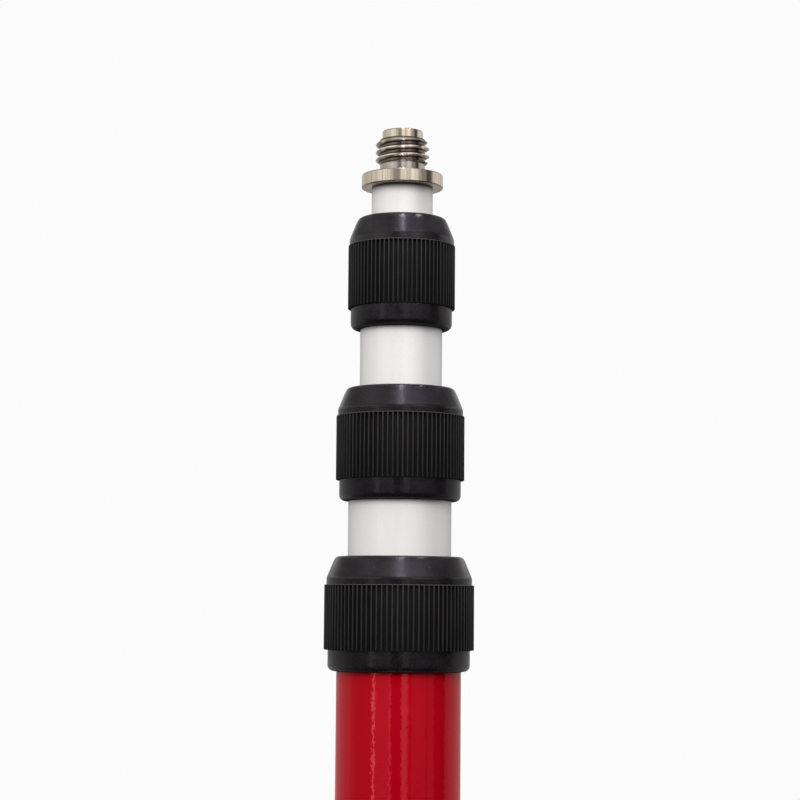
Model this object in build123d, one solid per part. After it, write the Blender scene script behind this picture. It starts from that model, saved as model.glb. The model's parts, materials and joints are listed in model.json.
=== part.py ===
from build123d import *
import os
from dataclasses import dataclass
from math import cos, pi, radians, sin, sqrt, tan

# A four-section telescopic survey pole, closed. Millimetres, +Z up, origin at the tip of the point.

# Tubes
UPPER_TUBE_OD = 18.0
TUBE_WALL = 1.5
SLIDE_GAP = 1.5  # radial room between a tube and the next one outside it
OUTER_TUBE_LENGTH = 1180.0
LOWER_TUBE_SHOWN = 16.1  # bare length of each inner tube above its lock when closed
MIDDLE_TUBE_SHOWN = 17.3
UPPER_TUBE_SHOWN = 9.15

# Stud that carries the prism, with a 5/8 inch thread
STUD_THREAD_OD = 15.8
STUD_THREADS_PER_INCH = 11
STUD_THREAD_LENGTH = 7.6
STUD_NECK_HEIGHT = 3.0
STUD_PILOT_OD = 12.0
STUD_PILOT_HEIGHT = 2.6
STUD_FLANGE_OD = 24.0
STUD_FLANGE_HEIGHT = 3.9
STUD_SHANK_LENGTH = 26.0
STUD_PIN_OD = 3.0
STUD_PIN_DROP = 17.0  # below the flange
STUD_EDGE_ROUND = 0.35
STUD_THREAD_CHAMFER = 1.3
STUD_FLANK_ANGLE = 30.0
STUD_THREAD_TURN = 143.5  # direction in degrees where the thread begins

# Lock nuts, outside
LIP_HEIGHT = 6.05
LOWER_LIP_WALL = 1.85
MIDDLE_LIP_WALL = 2.0
UPPER_LIP_WALL = 2.15
LIP_ROUND = 1.7
GRIP_LENGTH = 18.7
GRIP_THICKNESS = 1.6
RIB_WALL = 3.0  # from the skirt's bore to the crests of the ribs
RIB_DEPTH = 0.65
RIB_SHARE = 0.5  # part of the pitch that a rib takes
LOWER_RIBS = 90
MIDDLE_RIBS = 81
UPPER_RIBS = 72
BAND_HEIGHT = 1.9
BAND_RISE = 0.55  # height of the band above the lip
BAND_ROUND = 0.4
CONE_HEIGHT = 6.25
CONE_HALF_ANGLE = 22.0
CAP_ROUND = 1.2

# Lock nuts, inside
SKIRT_OVERLAP = 8.75  # length of tube end that the nut covers
CAP_WALL = 4.95
MOUTH_CLEARANCE = 0.4
MOUTH_ROUND = 0.3
NUT_THREAD_TURNS = 1.5

# Thread between nut and base
LOCK_PITCH = 3.0
LOCK_THREAD_DEPTH = 1.0
LOCK_THREAD_RISE = 0.5  # crest of the base's thread above its tube
LOCK_THREAD_LENGTH = 11.5
LOCK_THREAD_MARGIN = 0.3  # plain core left at both ends of the base's thread
LOCK_FLANK_ANGLE = 15.0
LOCK_THREAD_CLEARANCE = 0.2

# Lock bases, collets and slip rings
SPIGOT_LENGTH = 50.0
SHOULDER_HEIGHT = 1.5
BORE_CLEARANCE = 0.15
SEAT_WALL = 0.9  # base wall at the seat's mouth
SEAT_LENGTH = 9.0
SEAT_ANGLE = 6.0
SEAT_CLEARANCE = 0.03
COLLET_CLEARANCE = 0.08
COLLET_FOOT_GAP = 0.6
COLLET_SQUEEZE_GAP = 0.6
COLLET_COLLAR_RISE = 0.6
COLLET_SLOTS = 6
COLLET_SLOT_WIDTH = 1.2
COLLET_BRIDGE = 1.6
SLIP_RING_HEIGHT = 1.2
SLIP_GAP = 0.05

# Guides at the foot of the inner tubes
GUIDE_LENGTH = 60.0
GUIDE_LIP_HEIGHT = 3.0
GUIDE_LIP_REACH = 1.5
GUIDE_CLEARANCE = 0.1
REST_GAP = 0.1  # between the foot of a closed section and what it rests on

# Pins that hold the bases and guides
PIN_OD = 2.5
PIN_COUNT = 3
PIN_SINK = 0.15
BASE_PIN_DROP = 4.5
GUIDE_PIN_RISE = 12.0

# Foot of the pole
POINT_CONE_LENGTH = 38.0
POINT_TIP_OD = 1.2
POINT_SHANK_OD = 16.0
POINT_SHANK_LENGTH = 14.0
POINT_HEX_WIDTH = 22.0  # across the flats
POINT_HEX_HEIGHT = 8.0
POINT_STEM_OD = 14.0
POINT_STEM_LENGTH = 24.0
SOCKET_END_GAP = 1.0
HOLDER_NOSE_OD = 27.0
HOLDER_TAPER_HEIGHT = 12.0
HOLDER_COLLAR_HEIGHT = 8.0
HOLDER_SPIGOT_LENGTH = 40.0
HOLDER_EDGE_ROUND = 0.8
HOLDER_PIN_OD = 4.0
HOLDER_PIN_COUNT = 4
HOLDER_PIN_DEPTH = 5.0
HOLDER_PIN_RISE = 15.0
BUMP_HEIGHT = 6.0
BUMP_CLEARANCE = 0.3
BUMP_HOLE_OD = 10.0

# Level: bracket on the outer tube
LEVEL_DROP = 240.0  # from the outer tube's end down to the middle of the bracket
CLAMP_HEIGHT = 16.0
CLAMP_WALL = 4.5
CLAMP_SPLIT = 1.6
EAR_REACH = 11.0
EAR_DEPTH = 6.0
CLAMP_SCREW_OD = 4.0
CLAMP_HEAD_OD = 7.0
CLAMP_HEAD_HEIGHT = 4.0
CLAMP_KEY_WIDTH = 3.0
CLAMP_KEY_DEPTH = 2.0
CLAMP_NUT_WIDTH = 7.0
CLAMP_NUT_HEIGHT = 3.2
CLAMP_SCREW_TAIL = 1.0
SHELF_THICKNESS = 5.0
SHELF_MARGIN = 2.0
ARM_WIDTH = 18.0
GUSSET_THICKNESS = 5.0
VIAL_GAP = 7.0  # between the clamp and the vial's cup

# Level: vial
CUP_OD = 30.0
CUP_WALL = 2.2
CUP_FLOOR = 3.5
CUP_EDGE_ROUND = 0.5
PAD_OD = 14.0
PAD_HEIGHT = 2.0
CAPSULE_HEIGHT = 10.0
CAPSULE_WALL = 1.8
CAPSULE_ROOF = 2.2
CAPSULE_FIT = 0.03
DOME_RADIUS = 60.0
PLUG_HEIGHT = 2.0
BUBBLE_OD = 7.0
BUBBLE_DEPTH = 0.9
BEZEL_HEIGHT = 2.0
BEZEL_REACH = 4.6
BEZEL_ROUND = 0.7
ADJUST_SCREW_OD = 3.0
ADJUST_SCREW_COUNT = 3
ADJUST_SCREW_GRIP = 2.6
ADJUST_HEAD_OD = 5.5
ADJUST_HEAD_HEIGHT = 2.0
ADJUST_SLOT_WIDTH = 0.8
ADJUST_SLOT_DEPTH = 0.8

# Depth of a thread's foot in its core, overshoot of a cutting shape past a face, and thread standards
THREAD_SINK = 0.2
CUT_OVERSHOOT = 0.25
MM_PER_INCH = 25.4
INCH_THREAD_DEPTH = 0.5413  # of the pitch
INCH_THREAD_ROOT_FLAT = 0.25  # of the pitch

# Radii of the nested tubes
TUBE_STEP = TUBE_WALL + SLIDE_GAP
UPPER_R = UPPER_TUBE_OD / 2
MIDDLE_R = UPPER_R + TUBE_STEP
LOWER_R = MIDDLE_R + TUBE_STEP
OUTER_R = LOWER_R + TUBE_STEP

# Heights of the closed pole, from the tip upwards
SHANK_TOP = POINT_CONE_LENGTH + POINT_SHANK_LENGTH
HOLDER_BOTTOM = SHANK_TOP + POINT_HEX_HEIGHT
OUTER_BOTTOM = HOLDER_BOTTOM + HOLDER_TAPER_HEIGHT + HOLDER_COLLAR_HEIGHT
OUTER_TOP = OUTER_BOTTOM + OUTER_TUBE_LENGTH
HOLDER_TOP = OUTER_BOTTOM + HOLDER_SPIGOT_LENGTH
LOWER_GUIDE_BOTTOM = HOLDER_TOP + BUMP_HEIGHT + REST_GAP
MIDDLE_GUIDE_BOTTOM = LOWER_GUIDE_BOTTOM + GUIDE_LIP_HEIGHT + REST_GAP
UPPER_GUIDE_BOTTOM = MIDDLE_GUIDE_BOTTOM + GUIDE_LIP_HEIGHT + REST_GAP
NUT_HEIGHT = LIP_HEIGHT + GRIP_LENGTH + BAND_HEIGHT + CONE_HEIGHT
LOWER_NUT_BOTTOM = OUTER_TOP - SKIRT_OVERLAP
MIDDLE_NUT_BOTTOM = LOWER_NUT_BOTTOM + NUT_HEIGHT + LOWER_TUBE_SHOWN
UPPER_NUT_BOTTOM = MIDDLE_NUT_BOTTOM + NUT_HEIGHT + MIDDLE_TUBE_SHOWN
LOWER_TOP = MIDDLE_NUT_BOTTOM + SKIRT_OVERLAP
MIDDLE_TOP = UPPER_NUT_BOTTOM + SKIRT_OVERLAP
UPPER_TOP = UPPER_NUT_BOTTOM + NUT_HEIGHT + UPPER_TUBE_SHOWN
FLANGE_TOP = UPPER_TOP + STUD_FLANGE_HEIGHT
STUD_PITCH = MM_PER_INCH / STUD_THREADS_PER_INCH

# Places of the level's pieces
LEVEL_MIDDLE = OUTER_TOP - LEVEL_DROP
CLAMP_R = OUTER_R + CLAMP_WALL
CUP_R = CUP_OD / 2
VIAL_REACH = CLAMP_R + VIAL_GAP + CUP_R
SHELF_TOP = LEVEL_MIDDLE + CLAMP_HEIGHT / 2
CUP_BOTTOM = SHELF_TOP + PAD_HEIGHT
CAPSULE_BOTTOM = CUP_BOTTOM + CUP_FLOOR
CUP_TOP = CAPSULE_BOTTOM + CAPSULE_HEIGHT
CAPSULE_R = CUP_R - CUP_WALL - CAPSULE_FIT
LIQUID_R = CAPSULE_R - CAPSULE_WALL
LIQUID_BOTTOM = CAPSULE_BOTTOM + PLUG_HEIGHT
DOME_TOP = CUP_TOP - CAPSULE_ROOF
EAR_MIDDLE = CLAMP_R + EAR_REACH / 2
EAR_END = CLAMP_SPLIT / 2 + EAR_DEPTH
ADJUST_CIRCLE_R = (PAD_OD / 2 + CUP_R) / 2


def turned(*corners):
    """Solid of revolution about Z from corners (radius, height) or (radius, height, rounding)."""
    points = [corner[:2] for corner in corners]
    rounds = [corner[2] if len(corner) > 2 else 0.0 for corner in corners]
    outline = FilletPolyline(*points, radius=rounds, close=True)
    return revolve(Plane.XZ * make_face(outline), Axis.Z)


def upright_cylinder(diameter, height):
    return Cylinder(diameter / 2, height, align=(Align.CENTER, Align.CENTER, Align.MIN))


def hexagon_prism(width, height):
    """Upright hexagon from its width across the flats."""
    return extrude(RegularPolygon(width / sqrt(3), 6), height)


def helical_ridge(foot_r, foot_half, crest_r, crest_half, pitch, height):
    """Ridge of a right-hand thread that starts on +X, from half its width at its foot and at its crest."""
    section = Polyline(
        (foot_r, -foot_half),
        (crest_r, -crest_half),
        (crest_r, crest_half),
        (foot_r, foot_half),
        close=True,
    )
    return sweep(Plane.XZ * make_face(section), path=Helix(pitch, height, foot_r), is_frenet=True)


def radial_pins(count, pin_od, inner_r, outer_r, height):
    """Pins on spokes, evenly spaced, from the first radius to the second."""
    middle_r = (inner_r + outer_r) / 2
    pin = Rot(0, 90, 0) * Cylinder(pin_od / 2, outer_r - inner_r)
    placed = Pos(middle_r, 0, height) * pin
    return [Rot(0, 0, index * 360 / count) * placed for index in range(count)]


@dataclass
class Lock:
    """A twist lock on the end of a carrying tube, round the tube that slides in it."""

    name: str
    carrier_r: float
    sliding_r: float
    nut_bottom: float
    lip_wall: float
    ribs: int

    def __post_init__(self):
        self.tube_end = self.nut_bottom + SKIRT_OVERLAP
        self.shoulder_top = self.tube_end + SHOULDER_HEIGHT
        self.base_top = self.shoulder_top + LOCK_THREAD_LENGTH
        self.nut_top = self.nut_bottom + NUT_HEIGHT
        self.nut_shoulder = self.nut_top - CAP_WALL
        self.slip_bottom = self.nut_shoulder - SLIP_GAP - SLIP_RING_HEIGHT
        self.collet_top = self.slip_bottom - SLIP_GAP
        self.grip_bottom = self.nut_bottom + LIP_HEIGHT
        self.grip_top = self.grip_bottom + GRIP_LENGTH
        self.crest_r = self.carrier_r + LOCK_THREAD_RISE
        self.root_r = self.crest_r - LOCK_THREAD_DEPTH
        self.skirt_r = self.crest_r + LOCK_THREAD_CLEARANCE
        self.lip_r = self.skirt_r + self.lip_wall
        self.band_r = self.lip_r + BAND_RISE
        self.rib_r = self.skirt_r + RIB_WALL
        self.recess_r = self.rib_r - GRIP_THICKNESS
        self.mouth_r = self.sliding_r + MOUTH_CLEARANCE
        self.bore_r = self.sliding_r + BORE_CLEARANCE
        self.seat_r = self.root_r - SEAT_WALL
        self.pin_height = self.tube_end - BASE_PIN_DROP
        self.thread_start = self.shoulder_top + LOCK_THREAD_MARGIN + self.ridge_half_width(self.root_r)

    def ridge_half_width(self, radius):
        """Half the width of the base's thread at a radius."""
        pitch_r = (self.crest_r + self.root_r) / 2
        return LOCK_PITCH / 4 - (radius - pitch_r) * tan(radians(LOCK_FLANK_ANGLE))

    def groove_half_width(self, radius):
        """Half the width, at a radius, of what fits between two turns of the base's thread."""
        return LOCK_PITCH / 2 - self.ridge_half_width(radius) - LOCK_THREAD_CLEARANCE

    def seat_radius(self, height):
        """Radius of the conical seat's line at a height."""
        return self.seat_r - (self.base_top - height) * tan(radians(SEAT_ANGLE))

    def pins(self, inner_r, outer_r):
        return radial_pins(PIN_COUNT, PIN_OD, inner_r, outer_r, self.pin_height)


def base_thread(lock):
    """Thread on the base's core, with a plain margin at both ends."""
    foot_r = lock.root_r - THREAD_SINK
    height = lock.base_top - lock.thread_start - LOCK_THREAD_MARGIN - lock.ridge_half_width(lock.root_r)
    ridge = helical_ridge(
        foot_r,
        lock.ridge_half_width(foot_r),
        lock.crest_r,
        lock.ridge_half_width(lock.crest_r),
        LOCK_PITCH,
        height,
    )
    return Pos(0, 0, lock.thread_start) * ridge


def nut_thread(lock):
    """Thread inside the nut, half a pitch above the base's thread."""
    foot_r = lock.skirt_r + THREAD_SINK
    crest_r = lock.root_r + LOCK_THREAD_CLEARANCE
    ridge = helical_ridge(
        foot_r,
        lock.groove_half_width(foot_r),
        crest_r,
        lock.groove_half_width(crest_r),
        LOCK_PITCH,
        NUT_THREAD_TURNS * LOCK_PITCH,
    )
    return Pos(0, 0, lock.thread_start + LOCK_PITCH / 2) * ridge


def lock_nut(lock):
    """Moulded nut: lip, recess for the grip, band, conical cap with the mouth, thread inside."""
    band_top = lock.grip_top + BAND_HEIGHT
    cap_r = lock.band_r - CONE_HEIGHT * tan(radians(CONE_HALF_ANGLE))
    body = turned(
        (lock.skirt_r, lock.nut_bottom),
        (lock.lip_r, lock.nut_bottom, LIP_ROUND),
        (lock.lip_r, lock.grip_bottom),
        (lock.recess_r, lock.grip_bottom),
        (lock.recess_r, lock.grip_top),
        (lock.band_r, lock.grip_top),
        (lock.band_r, band_top, BAND_ROUND),
        (cap_r, lock.nut_top, CAP_ROUND),
        (lock.mouth_r, lock.nut_top, MOUTH_ROUND),
        (lock.mouth_r, lock.nut_shoulder),
        (lock.skirt_r, lock.nut_shoulder),
    )
    return body + nut_thread(lock)


def lock_grip(lock):
    """Rubber band with upright ribs, in the nut's recess."""
    pitch = 2 * pi / lock.ribs
    floor_r = lock.rib_r - RIB_DEPTH

    def at(radius, angle):
        return (radius * cos(angle), radius * sin(angle))

    edges = []
    for index in range(lock.ribs):
        start = index * pitch
        rib_end = start + RIB_SHARE * pitch
        end = start + pitch
        edges.append(ThreePointArc(at(lock.rib_r, start), at(lock.rib_r, (start + rib_end) / 2),
                                   at(lock.rib_r, rib_end)))
        edges.append(Line(at(lock.rib_r, rib_end), at(floor_r, rib_end)))
        edges.append(ThreePointArc(at(floor_r, rib_end), at(floor_r, (rib_end + end) / 2), at(floor_r, end)))
        edges.append(Line(at(floor_r, end), at(lock.rib_r, end)))
    section = make_face(edges) - Circle(lock.recess_r)
    return Pos(0, 0, lock.grip_bottom) * extrude(section, GRIP_LENGTH)


def lock_base(lock):
    """Spigot bonded in the tube's end, shoulder on the end, threaded collar with a conical seat."""
    spigot_r = lock.carrier_r - TUBE_WALL
    seat_bottom = lock.base_top - SEAT_LENGTH
    blank = turned(
        (lock.bore_r, lock.tube_end - SPIGOT_LENGTH),
        (spigot_r, lock.tube_end - SPIGOT_LENGTH),
        (spigot_r, lock.tube_end),
        (lock.carrier_r, lock.tube_end),
        (lock.carrier_r, lock.shoulder_top),
        (lock.root_r, lock.shoulder_top),
        (lock.root_r, lock.base_top),
        (lock.seat_r, lock.base_top),
        (lock.seat_radius(seat_bottom), seat_bottom),
        (lock.bore_r, seat_bottom),
    )
    return blank + base_thread(lock) - lock.pins(lock.bore_r + PIN_SINK, lock.carrier_r)


def lock_collet(lock):
    """Slotted cone in the base's seat, with a collar above it that the slip ring presses on."""
    inner_r = lock.sliding_r + COLLET_CLEARANCE
    foot = lock.base_top - SEAT_LENGTH + COLLET_FOOT_GAP
    collar_bottom = lock.base_top + COLLET_SQUEEZE_GAP
    collar_r = lock.seat_r + COLLET_COLLAR_RISE
    cone = turned(
        (inner_r, foot),
        (lock.seat_radius(foot) - SEAT_CLEARANCE, foot),
        (lock.seat_radius(collar_bottom) - SEAT_CLEARANCE, collar_bottom),
        (collar_r, collar_bottom),
        (collar_r, lock.collet_top),
        (inner_r, lock.collet_top),
    )
    slot_height = lock.collet_top - COLLET_BRIDGE - foot
    slot = Box(2 * collar_r, COLLET_SLOT_WIDTH, slot_height, align=(Align.MIN, Align.CENTER, Align.MIN))
    turns = [Rot(0, 0, index * 360 / COLLET_SLOTS) for index in range(COLLET_SLOTS)]
    return cone - [turn * Pos(0, 0, foot) * slot for turn in turns]


def lock_slip_ring(lock):
    """Washer between the collet and the nut's shoulder."""
    return turned(
        (lock.mouth_r, lock.slip_bottom),
        (lock.seat_r + COLLET_COLLAR_RISE, lock.slip_bottom),
        (lock.seat_r + COLLET_COLLAR_RISE, lock.slip_bottom + SLIP_RING_HEIGHT),
        (lock.mouth_r, lock.slip_bottom + SLIP_RING_HEIGHT),
    )


def base_pins(lock):
    return Compound(children=lock.pins(lock.bore_r + PIN_SINK, lock.carrier_r - PIN_SINK))


def tube(radius, bottom, top):
    """Plain round tube with the common wall."""
    return turned(
        (radius - TUBE_WALL, bottom),
        (radius, bottom),
        (radius, top),
        (radius - TUBE_WALL, top),
    )


def guide_pin_set(tube_r, guide_bottom, outer_r):
    height = guide_bottom + GUIDE_PIN_RISE
    return radial_pins(PIN_COUNT, PIN_OD, tube_r - TUBE_WALL + PIN_SINK, outer_r, height)


def guide_radius(tube_r):
    return tube_r + SLIDE_GAP - GUIDE_CLEARANCE


def guide(tube_r, bottom):
    """Bush round the foot of an inner tube, with a lip under the tube's end."""
    outer_r = guide_radius(tube_r)
    lip_top = bottom + GUIDE_LIP_HEIGHT
    lip_r = tube_r - TUBE_WALL - GUIDE_LIP_REACH
    bush = turned(
        (lip_r, bottom),
        (outer_r, bottom),
        (outer_r, bottom + GUIDE_LENGTH),
        (tube_r, bottom + GUIDE_LENGTH),
        (tube_r, lip_top),
        (lip_r, lip_top),
    )
    return bush - guide_pin_set(tube_r, bottom, outer_r)


def guide_pins(tube_r, guide_bottom):
    return Compound(children=guide_pin_set(tube_r, guide_bottom, guide_radius(tube_r) - PIN_SINK))


def inner_tube(tube_r, guide_bottom, top):
    """Inner tube standing on its guide's lip, drilled for the guide's pins."""
    body = tube(tube_r, guide_bottom + GUIDE_LIP_HEIGHT, top)
    return body - guide_pin_set(tube_r, guide_bottom, guide_radius(tube_r))


def stud_cross_pin(end_sink):
    """Pin through the tube and the stud's shank."""
    pin = Rot(90, 0, 0) * Cylinder(STUD_PIN_OD / 2, 2 * (UPPER_R - end_sink))
    return Pos(0, 0, UPPER_TOP - STUD_PIN_DROP) * pin


def stud_thread(bottom, top, root_r, crest_r):
    """Thread ridge that runs on past both ends of its length and is chamfered off there."""
    slope = tan(radians(STUD_FLANK_ANGLE))
    foot_r = root_r - THREAD_SINK
    root_half = (1 - INCH_THREAD_ROOT_FLAT) * STUD_PITCH / 2
    foot_half = root_half + THREAD_SINK * slope
    crest_half = root_half - (crest_r - root_r) * slope
    height = top - bottom + 2 * foot_half
    ridge = helical_ridge(foot_r, foot_half, crest_r, crest_half, STUD_PITCH, height)
    inner_r = foot_r - CUT_OVERSHOOT
    outer_r = crest_r + STUD_THREAD_CHAMFER
    chamfer_r = crest_r - STUD_THREAD_CHAMFER
    slant = outer_r - chamfer_r
    ends = [
        turned(
            (inner_r, end),
            (chamfer_r, end),
            (outer_r, end - way * slant),
            (outer_r, end + way * STUD_PITCH),
            (inner_r, end + way * STUD_PITCH),
        )
        for end, way in ((bottom, -1), (top, 1))
    ]
    return Pos(0, 0, bottom - foot_half) * ridge - ends


def prism_stud():
    """Shank in the upper tube, flange on its end, neck, thread and pilot nose."""
    crest_r = STUD_THREAD_OD / 2
    root_r = crest_r - INCH_THREAD_DEPTH * STUD_PITCH
    flange_r = STUD_FLANGE_OD / 2
    pilot_r = STUD_PILOT_OD / 2
    shank_r = UPPER_R - TUBE_WALL
    thread_bottom = FLANGE_TOP + STUD_NECK_HEIGHT
    thread_top = thread_bottom + STUD_THREAD_LENGTH
    top = thread_top + STUD_PILOT_HEIGHT
    core = turned(
        (0, UPPER_TOP - STUD_SHANK_LENGTH),
        (shank_r, UPPER_TOP - STUD_SHANK_LENGTH),
        (shank_r, UPPER_TOP),
        (flange_r, UPPER_TOP, STUD_EDGE_ROUND),
        (flange_r, FLANGE_TOP, STUD_EDGE_ROUND),
        (root_r, FLANGE_TOP),
        (root_r, thread_top),
        (pilot_r, thread_top),
        (pilot_r, top, STUD_EDGE_ROUND),
        (0, top),
    )
    body = core + stud_thread(thread_bottom, thread_top, root_r, crest_r)
    return Rot(0, 0, STUD_THREAD_TURN) * body - stud_cross_pin(0)


def upper_tube():
    return inner_tube(UPPER_R, UPPER_GUIDE_BOTTOM, UPPER_TOP) - stud_cross_pin(-CUT_OVERSHOOT)


def holder_pin_set(outer_r):
    inner_r = OUTER_R - TUBE_WALL - HOLDER_PIN_DEPTH
    height = OUTER_BOTTOM + HOLDER_PIN_RISE
    return radial_pins(HOLDER_PIN_COUNT, HOLDER_PIN_OD, inner_r, outer_r, height)


def outer_tube(lock):
    """Painted outer tube, drilled for the pins of its lock base and of the point holder."""
    body = tube(OUTER_R, OUTER_BOTTOM, OUTER_TOP)
    return body - lock.pins(lock.bore_r, OUTER_R + CUT_OVERSHOOT) - holder_pin_set(OUTER_R + CUT_OVERSHOOT)


def point_holder():
    """Plug in the tube's foot, with a collar under the tube's end and a socket for the point."""
    stem_r = POINT_STEM_OD / 2
    socket_top = HOLDER_BOTTOM + POINT_STEM_LENGTH + SOCKET_END_GAP
    collar_bottom = HOLDER_BOTTOM + HOLDER_TAPER_HEIGHT
    plug = turned(
        (stem_r, HOLDER_BOTTOM),
        (HOLDER_NOSE_OD / 2, HOLDER_BOTTOM, HOLDER_EDGE_ROUND),
        (OUTER_R, collar_bottom, HOLDER_EDGE_ROUND),
        (OUTER_R, OUTER_BOTTOM),
        (OUTER_R - TUBE_WALL, OUTER_BOTTOM),
        (OUTER_R - TUBE_WALL, HOLDER_TOP),
        (0, HOLDER_TOP),
        (0, socket_top),
        (stem_r, socket_top),
    )
    return plug - holder_pin_set(OUTER_R)


def point():
    """Steel point: cone, round shank, hexagon for a spanner, stem in the holder's socket."""
    shank_r = POINT_SHANK_OD / 2
    body = turned(
        (0, 0),
        (POINT_TIP_OD / 2, 0),
        (shank_r, POINT_CONE_LENGTH),
        (shank_r, SHANK_TOP),
        (0, SHANK_TOP),
    )
    hexagon = Pos(0, 0, SHANK_TOP) * hexagon_prism(POINT_HEX_WIDTH, POINT_HEX_HEIGHT)
    stem = Pos(0, 0, HOLDER_BOTTOM) * upright_cylinder(POINT_STEM_OD, POINT_STEM_LENGTH)
    return body + hexagon + stem


def bump_stop():
    """Rubber disc on the holder's top that the closed sections rest on."""
    rim_r = OUTER_R - TUBE_WALL - BUMP_CLEARANCE
    return turned(
        (BUMP_HOLE_OD / 2, HOLDER_TOP),
        (rim_r, HOLDER_TOP),
        (rim_r, HOLDER_TOP + BUMP_HEIGHT),
        (BUMP_HOLE_OD / 2, HOLDER_TOP + BUMP_HEIGHT),
    )


def half_align(side):
    return (Align.CENTER, Align.MIN if side > 0 else Align.MAX, Align.CENTER)


def clamp_half(side):
    """Half ring round the outer tube with two ears; side is -1 for the front half, 1 for the back."""
    ring = Cylinder(CLAMP_R, CLAMP_HEIGHT)
    ear_length = 2 * (CLAMP_R + EAR_REACH)
    ears = Pos(0, side * (CLAMP_SPLIT / 2 + EAR_DEPTH / 2), 0) * Box(ear_length, EAR_DEPTH, CLAMP_HEIGHT)
    room = Pos(0, side * CLAMP_SPLIT / 2, 0) * Box(ear_length, CLAMP_R, CLAMP_HEIGHT, align=half_align(side))
    return Pos(0, 0, LEVEL_MIDDLE) * ((ring & room) + ears - Cylinder(OUTER_R, CLAMP_HEIGHT))


def across(shape, end):
    """Shape that grows along +Z from the origin, turned to grow along +Y from an ear's end."""
    return [Pos(x, end, LEVEL_MIDDLE) * Rot(-90, 0, 0) * shape for x in (-EAR_MIDDLE, EAR_MIDDLE)]


def clamp_screw_holes():
    return across(upright_cylinder(CLAMP_SCREW_OD, 2 * EAR_END), -EAR_END)


def level_clamp_back():
    return clamp_half(1) - clamp_screw_holes()


def adjust_places():
    """Places of the adjusting screws under the vial, at the shelf's underside."""
    turns = [Rot(0, 0, 90 + index * 360 / ADJUST_SCREW_COUNT) for index in range(ADJUST_SCREW_COUNT)]
    underside = Pos(0, -VIAL_REACH, SHELF_TOP - SHELF_THICKNESS)
    return [underside * turn * Pos(ADJUST_CIRCLE_R, 0, 0) for turn in turns]


def adjust_shank(length):
    return upright_cylinder(ADJUST_SCREW_OD, length)


def level_arm():
    """Front clamp half with the shelf that carries the vial, and a gusset under the shelf."""
    shelf_bottom = SHELF_TOP - SHELF_THICKNESS
    shelf = Pos(0, -VIAL_REACH, shelf_bottom) * upright_cylinder(CUP_OD + 2 * SHELF_MARGIN, SHELF_THICKNESS)
    arm_align = (Align.CENTER, Align.MIN, Align.MIN)
    arm = Pos(0, -VIAL_REACH, shelf_bottom) * Box(ARM_WIDTH, VIAL_REACH, SHELF_THICKNESS, align=arm_align)
    outline = Polyline(
        (-OUTER_R, shelf_bottom),
        (-VIAL_REACH + CUP_R, shelf_bottom),
        (-CLAMP_R, LEVEL_MIDDLE - CLAMP_HEIGHT / 2),
        (-OUTER_R, LEVEL_MIDDLE - CLAMP_HEIGHT / 2),
        close=True,
    )
    gusset = extrude(Plane.YZ * make_face(outline), GUSSET_THICKNESS / 2, both=True)
    tube_room = Pos(0, 0, LEVEL_MIDDLE) * Cylinder(OUTER_R, CLAMP_HEIGHT)
    back_room = Pos(0, -CLAMP_SPLIT / 2, LEVEL_MIDDLE) * Box(
        2 * CLAMP_R, 2 * CLAMP_R, CLAMP_HEIGHT, align=half_align(1)
    )
    reach = (arm + shelf + gusset) - tube_room - back_room
    holes = [place * adjust_shank(SHELF_THICKNESS) for place in adjust_places()]
    return clamp_half(-1) + reach - clamp_screw_holes() - holes


def level_clamp_screws():
    """Socket-head screws through both ears, heads in front."""
    length = 2 * EAR_END + CLAMP_NUT_HEIGHT + CLAMP_SCREW_TAIL
    key = hexagon_prism(CLAMP_KEY_WIDTH, CLAMP_KEY_DEPTH)
    head = upright_cylinder(CLAMP_HEAD_OD, CLAMP_HEAD_HEIGHT) - key
    screw = Pos(0, 0, -CLAMP_HEAD_HEIGHT) * head + upright_cylinder(CLAMP_SCREW_OD, length)
    return Compound(children=across(screw, -EAR_END))


def level_clamp_nuts():
    hole = upright_cylinder(CLAMP_SCREW_OD, CLAMP_NUT_HEIGHT)
    nut = hexagon_prism(CLAMP_NUT_WIDTH, CLAMP_NUT_HEIGHT) - hole
    return Compound(children=across(nut, EAR_END))


def at_vial(shape):
    return Pos(0, -VIAL_REACH, 0) * shape


def vial_pad():
    """Rubber disc that the adjusting screws squeeze between shelf and cup."""
    return Pos(0, -VIAL_REACH, SHELF_TOP) * upright_cylinder(PAD_OD, PAD_HEIGHT)


def vial_cup():
    """Metal cup that holds the capsule, tapped from below for the adjusting screws."""
    bore_r = CUP_R - CUP_WALL
    cup = turned(
        (0, CUP_BOTTOM),
        (CUP_R, CUP_BOTTOM, CUP_EDGE_ROUND),
        (CUP_R, CUP_TOP),
        (bore_r, CUP_TOP),
        (bore_r, CAPSULE_BOTTOM),
        (0, CAPSULE_BOTTOM),
    )
    length = SHELF_THICKNESS + PAD_HEIGHT + ADJUST_SCREW_GRIP
    return at_vial(cup) - [place * adjust_shank(length) for place in adjust_places()]


def vial_adjusting_screws():
    """Slotted screws from under the shelf into the cup's floor."""
    length = SHELF_THICKNESS + PAD_HEIGHT + ADJUST_SCREW_GRIP
    upright = (Align.CENTER, Align.CENTER, Align.MIN)
    slot = Box(ADJUST_HEAD_OD, ADJUST_SLOT_WIDTH, ADJUST_SLOT_DEPTH, align=upright)
    head = upright_cylinder(ADJUST_HEAD_OD, ADJUST_HEAD_HEIGHT) - slot
    screw = Pos(0, 0, -ADJUST_HEAD_HEIGHT) * head + adjust_shank(length)
    return Compound(children=[place * screw for place in adjust_places()])


def dome():
    """Ball whose underside is the vaulted ceiling of the capsule."""
    return Pos(0, 0, DOME_TOP - DOME_RADIUS) * Sphere(DOME_RADIUS)


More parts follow.
